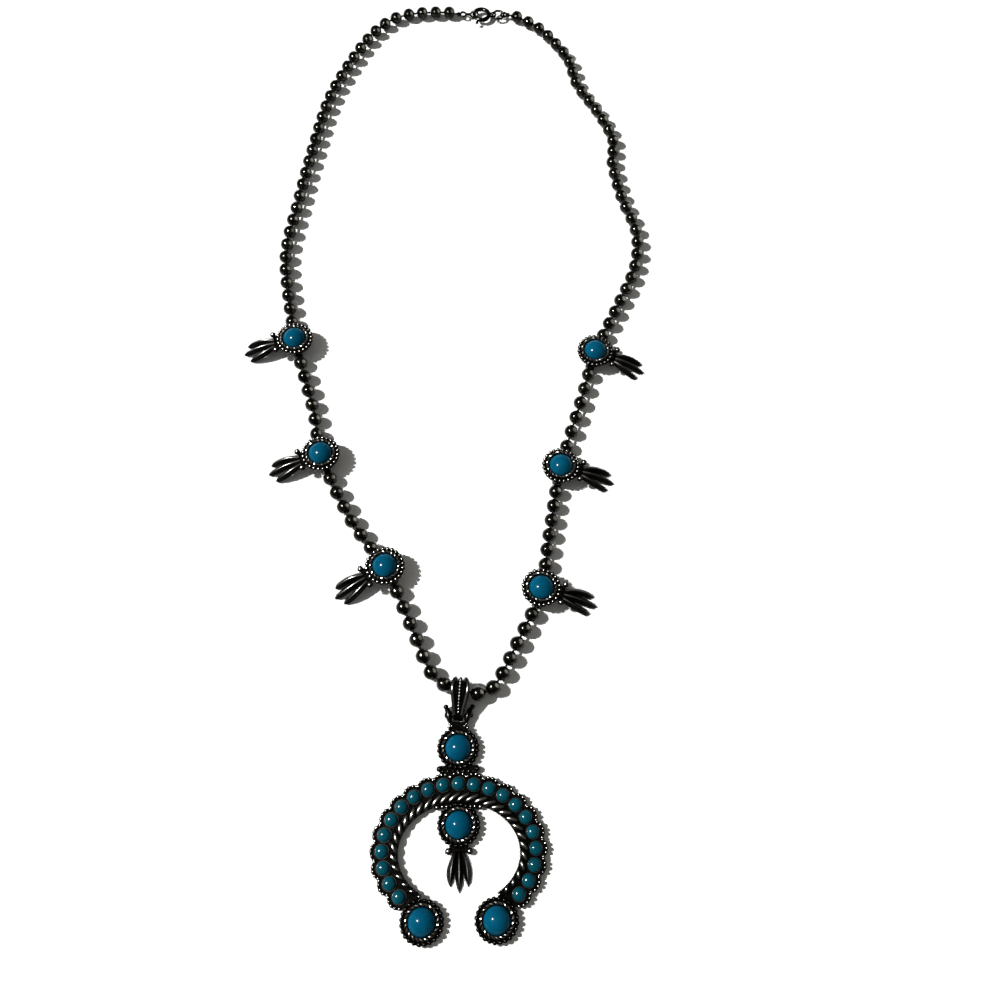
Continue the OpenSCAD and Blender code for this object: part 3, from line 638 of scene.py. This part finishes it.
angles = np.arange(-band_end, band_end + 1, 2)
outer = oval(row_rx + band_margin, row_ry + band_margin, row_cy, angles)
inner = oval(opening_rx, opening_ry, opening_cy, angles)
crescent = [slab(np.concatenate([outer, inner[::-1]]), 0, crescent_t)]
edging, row_stones = [], []
circle = np.c_[np.cos(np.linspace(0, 2 * math.pi, 37)[:-1]), np.sin(np.linspace(0, 2 * math.pi, 37)[:-1])]
for name in row_names:
    at = middle_of(name)[:2] - heart[:2]
    out = math.atan2((at[1] - row_cy) / row_ry ** 2, at[0] / row_rx ** 2)
    crescent.append(slab(circle * scallop_r + at, 0.01, crescent_t + 0.02 + 0.03 * (len(crescent) % 2)))
    low, high = floor_of(name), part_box(name)[1].z / MM
    arc = np.radians(np.linspace(90, 0, 12))
    dome = [(0, low), (small_stone_r, low)] + [
        (small_stone_r * math.sin(a), high + small_dome_rise * (math.cos(a) - 1)) for a in arc]
    row_stones.append(moved(revolve(dome, 40, closed=False), to=(*at, 0)))
    top = crescent_t + small_collar_h
    rim = small_seat_r + small_collar_t
    collar = revolve([(small_seat_r, crescent_t - 0.3), (rim, crescent_t - 0.3), (rim, top - 0.15),
                      (rim - 0.15, top), (small_seat_r + 0.05, top), (small_seat_r, top - 0.08)], 32)
    edging.append(moved(collar, to=(*at, 0)))
    for a in (-48, -24, 0, 24, 48):
        a = out + math.radians(a + rng.uniform(-2, 2))
        grain = (at[0] + milgrain_r * math.cos(a), at[1] + milgrain_r * math.sin(a), crescent_t + 0.2)
        edging.append(ball(grain, milgrain_d * rng.uniform(0.9, 1.06), 14))

# the rope follows the opening; s runs along it, v across it from the opening outward
rope_line = oval(opening_rx, opening_ry, opening_cy, np.arange(-band_end, band_end + 0.5, 1.0))
rope_run = np.r_[0, np.cumsum(np.linalg.norm(np.diff(rope_line, axis=0), axis=1))]
# degrees from the top, and the share of the room there that the rope fills
ROPE_FILL = np.array([(0, 0.94), (60, 0.92), (110, 0.88), (135, 0.62), (150, 0.45)])


def rope_at(s, v):
    """The point s along the rope's line and v out from it."""
    x, y = np.interp(s, rope_run, rope_line[:, 0]), np.interp(s, rope_run, rope_line[:, 1])
    step = 0.3
    hx = np.interp(s + step, rope_run, rope_line[:, 0]) - np.interp(s - step, rope_run, rope_line[:, 0])
    hy = np.interp(s + step, rope_run, rope_line[:, 1]) - np.interp(s - step, rope_run, rope_line[:, 1])
    length = math.hypot(hx, hy)
    return np.array([x - hy / length * v, y + hx / length * v])


def rope_width(s):
    """The rope's width at s, which narrows to the ends."""
    a = abs(band_end * (2 * s / rope_run[-1] - 1))
    room = np.linalg.norm(oval(row_rx, row_ry, row_cy, [a]) - oval(opening_rx, opening_ry, opening_cy, [a]))
    return (room - rope_free) * np.interp(a, ROPE_FILL[:, 0], ROPE_FILL[:, 1])


stations = np.linspace(0, rope_run[-1], 90)
core = [rope_at(s, rope_inset) for s in stations]
core += [rope_at(s, rope_inset + rope_width(s)) for s in stations[::-1]]
crescent.append(slab(core, 0.02, rope_h - 1.0))
rope = []
strand_count = round(rope_run[-1] / rope_pitch)
for k in range(strand_count + 1):
    mid = rope_run[-1] * k / strand_count
    w = rope_width(np.clip(mid, 0, rope_run[-1]))
    thick = min(0.80, w * 0.34)
    path, radii = [], []
    for t in np.linspace(-1, 1, 17):
        s = mid + (0.5 * w - 0.25 * thick) * t / math.tan(rope_slant) * (1.12 - 0.12 * t * t)
        v = rope_inset + w / 2 + (w / 2 - 0.25 * thick) * t
        path.append((*rope_at(np.clip(s, 0, rope_run[-1]), v), rope_h - thick - 0.75 * t * t))
        radii.append(thick * (1 - 0.35 * t ** 8))
    rope.append(sweep(path, radii, 12))


def at_heart(shapes):
    """Shapes drawn round the pendant's middle, put in its place."""
    return [moved(s, to=heart) for s in shapes]


horseshoe = piece("horseshoe", at_heart(crescent), blackened)
rope_piece = piece("horseshoe_rope", at_heart(rope), rubbed_silver_painted_highlight)
edging_piece = piece("horseshoe_edging", at_heart(edging), rubbed_silver_painted_highlight)
for made in (horseshoe, rope_piece, edging_piece):
    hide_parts("pendant_frame")
row_piece = piece("row_stones", at_heart(row_stones), small_blue)
for name in row_names:
    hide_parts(name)

# The pendant's four large settings, the hanging blossom on its bar, and the shelf under the
# top stone, all soldered to the horseshoe.

pendant_plate_t = 1.6
shelf_y, shelf_l, shelf_d = 24.8, 11.6, 3.2
shelf_ball_d, shelf_grain_d, shelf_grain_pitch = 1.9, 1.2, 1.6
drop_bar_y, drop_bar_l = 14.1, 13.2
bar_ball_d, bar_grain_d, bar_grain_pitch = 1.7, 1.1, 1.3
plates, settings = [], []
for name in ("top_stone", "drop_stone", "left_end_stone", "right_end_stone"):
    at = middle_of(name)
    seat, grains, twisted = setting(pendant_plate_t)
    plates += [moved(s, to=(at[0], at[1], 0)) for s in seat + grains]
    settings += [moved(s, to=(at[0], at[1], 0)) for s in twisted]
drop = middle_of("drop_stone")
neck, petals = tail(pendant_plate_t, 0, LEAF, leaf_crest)
plates += [moved(s, to=(drop[0], drop[1], 0)) for s in neck]
settings += [moved(s, to=(drop[0], drop[1], 0)) for s in petals]


def block(x0, x1, y0, y1, high):
    """A flat bar on the pendant's back."""
    return slab([(x0, y0), (x1, y0), (x1, y1), (x0, y1)], 0.01, high)


plates += at_heart([
    block(-shelf_l / 2, shelf_l / 2, row_cy + row_ry, shelf_y + shelf_d / 2, crescent_t),
    block(-drop_bar_l / 2, drop_bar_l / 2, drop_bar_y - 0.6, opening_cy + opening_ry + 0.6, crescent_t)])
shelf, bar_balls = [], []
for side in (-1, 1):
    shelf.append(ball((side * shelf_l / 2, shelf_y + 0.6, crescent_t - 0.3), shelf_ball_d, 20))
    bar_balls.append(ball((side * drop_bar_l / 2, drop_bar_y, crescent_t - 0.4), bar_ball_d, 20))
    for i in range(2):
        x = side * (drop_bar_l / 2 - bar_ball_d - bar_grain_pitch * i)
        bar_balls.append(ball((x, drop_bar_y + 0.1, crescent_t), bar_grain_d))
for i in range(-3, 4):
    shelf.append(ball((i * shelf_grain_pitch, shelf_y - 0.2, crescent_t), shelf_grain_d))
pendant_settings = piece("pendant_settings", settings + at_heart(bar_balls), rubbed_silver_painted_highlight)
pendant_plates = piece("pendant_plates", plates + at_heart(shelf), blackened)
for made in (pendant_settings, pendant_plates):
    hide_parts("pendant_frame")

# Hanger. A flat frame with a cross bar for the bail, and a curled sprout on each side.

top_y = 31.6
bar_y = top_y + setting_r + 3.7
bar_z = 0.6 + 0.35 + 0.8
bar_d = 1.2
hanger_w = 6.2
hole_w = 4.0
hole_l = 1.5
cheek_l = 2.6
leaf_ball_d = 1.6
root_y = top_y + grain_ring_r - 1
eye_y = bar_y - bar_d / 2 - hole_l
# the leaves' lines, out from the middle and up from the cross bar
LEFT_CURL = [(2.7, -2.0), (2.75, -1.0), (2.9, 0.0), (3.1, 1.0), (3.45, 1.9), (3.8, 2.6)]
RIGHT_CURL = [(2.7, -2.0), (2.85, -1.0), (3.1, 0.0), (3.5, 1.0), (4.0, 1.9), (4.5, 2.6)]
LEAF_R = [0.6, 0.95, 1.1, 1.0, 0.75, 0.5]
# a barb's line from the leaf's fourth point, and its radii
BARB = [(0, 0), (0.5, -0.4), (0.8, -1.1), (0.8, -1.9)]
BARB_R = [0.7, 0.62, 0.45, 0.14]
# the place and diameter of the small balls on each side of the root
ROOT_BALLS = [(2.9, 0.3, 1.1), (2.0, 0.9, 1.0), (2.6, 1.5, 0.8)]
# the root, drawn in at its waist below the bar's eye
half_w = hanger_w / 2
waist = [(-half_w, root_y), (half_w, root_y), (2.35, root_y + 0.9), (2.5, root_y + 1.9),
         (half_w, eye_y), (-half_w, eye_y), (-2.5, root_y + 1.9), (-2.35, root_y + 0.9)]
hanger_block = [slab(waist, 0.01, bar_z + bar_d / 2, 0.3)]
hanger = []
for side in (-1, 1):
    x = side * (hanger_w + hole_w) / 4
    half = (hanger_w - hole_w) / 4
    cheek = [(x - half, bar_y - cheek_l), (x + half, bar_y - cheek_l), (x + half, bar_y), (x - half, bar_y)]
    hanger_block.append(slab(cheek, bar_z - bar_d / 2, bar_z + bar_d / 2 + 0.02))
    # a curled leaf that ends in a ball, with a barb on its outer side
    curl = LEFT_CURL if side < 0 else RIGHT_CURL
    leaf = [(side * x, bar_y + y, bar_z + 0.1) for x, y in curl]
    hanger_block.append(sweep(leaf, LEAF_R, 12))
    hanger_block.append(ball(leaf[-1], leaf_ball_d, 18))
    x, y = curl[3]
    barb = [(side * (x + u), bar_y + y + v, bar_z) for u, v in BARB]
    hanger_block.append(sweep(barb, BARB_R, 10))
    for x, y, d in ROOT_BALLS:
        hanger.append(ball((side * x, root_y + 0.8 + y, bar_z + bar_d / 2 - 0.15), d, 14))
hanger.append(sweep([(x, bar_y, bar_z) for x in np.linspace(-half_w, half_w, 5)], bar_d / 2, 16))
hanger_piece = piece("hanger", at_heart(hanger), rubbed_silver_painted_highlight)
hanger_back = piece("hanger_back", at_heart(hanger_block), blackened)
for made in (hanger_piece, hanger_back):
    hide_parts("pendant_frame")

# Bail. One strap of sheet silver, wide at its fold and narrow below, bent round the hanger's
# bar and folded over the string; two raised rails and a row of grains run up its front.

bail_lean = math.radians(5)
bail_l, bail_t = 7.5, 0.8
rail_r, rail_inset = 0.58, 0.52
bail_grain_d, bail_grain_pitch = 0.98, 1.02
strap_bevel = 0.12
foot_r, fold_r = 1.75, 3.55
tilt = math.atan2(fold_r - foot_r, bail_l)
spread = math.asin((fold_r - foot_r) / math.hypot(bail_l, fold_r - foot_r))
front, back = math.pi / 2 + tilt + spread, tilt - math.pi / 2 - spread


def bail_line(out, steps=22):
    """The strap's line seen from its side, as (length, height, its outward direction)."""
    line = []
    for a in np.linspace(back, front, steps):
        line.append((bail_l + (fold_r + out) * math.cos(a), fold_r + (fold_r + out) * math.sin(a), a))
    for t in np.linspace(0, 1, 12)[1:-1]:
        y = (1 - t) * (bail_l + fold_r * math.cos(front)) + t * foot_r * math.cos(front)
        z = (1 - t) * (fold_r + fold_r * math.sin(front)) + t * (foot_r + foot_r * math.sin(front))
        line.append((y + out * math.cos(front), z + out * math.sin(front), front))
    for a in np.linspace(front, back + 2 * math.pi, steps):
        line.append(((foot_r + out) * math.cos(a), foot_r + (foot_r + out) * math.sin(a), a))
    for t in np.linspace(0, 1, 8)[1:-1]:
        line.append((t * bail_l, -out, back))
    return line


# place along the strap and its width there: it swells to the fold, then rounds off
STRAP = np.array([
    (-foot_r, 3.0), (1.0, 3.6), (3.5, 4.6), (6.0, 5.6), (7.5, 5.9), (8.9, 5.7), (10.2, 5.0), (11.05, 4.2)])


def strap_w(y):
    """Half the strap's width at y."""
    return np.interp(y, STRAP[:, 0], STRAP[:, 1]) / 2


strap_rings = []
for (y, z, a), (y_in, z_in, _) in zip(bail_line(0), bail_line(-bail_t)):
    w = strap_w(y)
    oy, oz, flat = strap_bevel * math.cos(a), strap_bevel * math.sin(a), w - strap_bevel
    strap_rings.append([(-w, y - oy, z - oz), (-flat, y, z), (flat, y, z), (w, y - oy, z - oz),
                        (w, y_in + oy, z_in + oz), (flat, y_in, z_in), (-flat, y_in, z_in),
                        (-w, y_in + oy, z_in + oz)])
strap_points = np.concatenate(strap_rings)
count = len(strap_rings)
sides = len(strap_rings[0])
strap_faces = [(i * sides + k, i * sides + (k + 1) % sides,
                ((i + 1) % count) * sides + (k + 1) % sides, ((i + 1) % count) * sides + k)
               for i in range(count) for k in range(sides)]
strap = (strap_points, strap_faces)
bail_front = [p for p in bail_line(0.05, 40) if 0.1 < p[2] <= front + 0.02 and p[1] > foot_r][:-1]
raised = []
for side in (-1, 1):
    path = [(side * (strap_w(y) - rail_inset), y, z + 0.08) for y, z, a in bail_front]
    raised.append(sweep(path, rail_r, 12))
run = np.r_[0, np.cumsum([math.dist(p[:2], q[:2]) for p, q in zip(bail_front, bail_front[1:])])]
for at in np.arange(0.5, run[-1], bail_grain_pitch):
    y, z = np.interp(at, run, [p[0] for p in bail_front]), np.interp(at, run, [p[1] for p in bail_front])
    raised.append(ball((0, y, z + 0.12), bail_grain_d, 14))
lean_cos, lean_sin = math.cos(bail_lean), math.sin(bail_lean)
lean = [(lean_cos, lean_sin, 0), (-lean_sin, lean_cos, 0), (0, 0, 1)]
bail_at = heart + np.array([0, bar_y, 0])
strap_piece = piece("bail_strap", [moved(strap, lean, bail_at)], blackened)
rails_piece = piece("bail_rails", [moved(s, lean, bail_at) for s in raised], rubbed_silver_painted_highlight)
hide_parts("bail")
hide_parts("bail")

# Clasp. A spring ring of bent tube, its bolt with a thumb knob, and the links of drawn wire.

clasp_names = ["clasp_ring", "clasp_lever", "hook_link", "jump_ring", "end_loop"]
dress(clasp_names, bead_metal)

for name in ["thread"] + clasp_names + large_names:
    nodes[name].data.shade_smooth()
    nodes[name].data.set_sharp_from_angle(angle=math.radians(35))
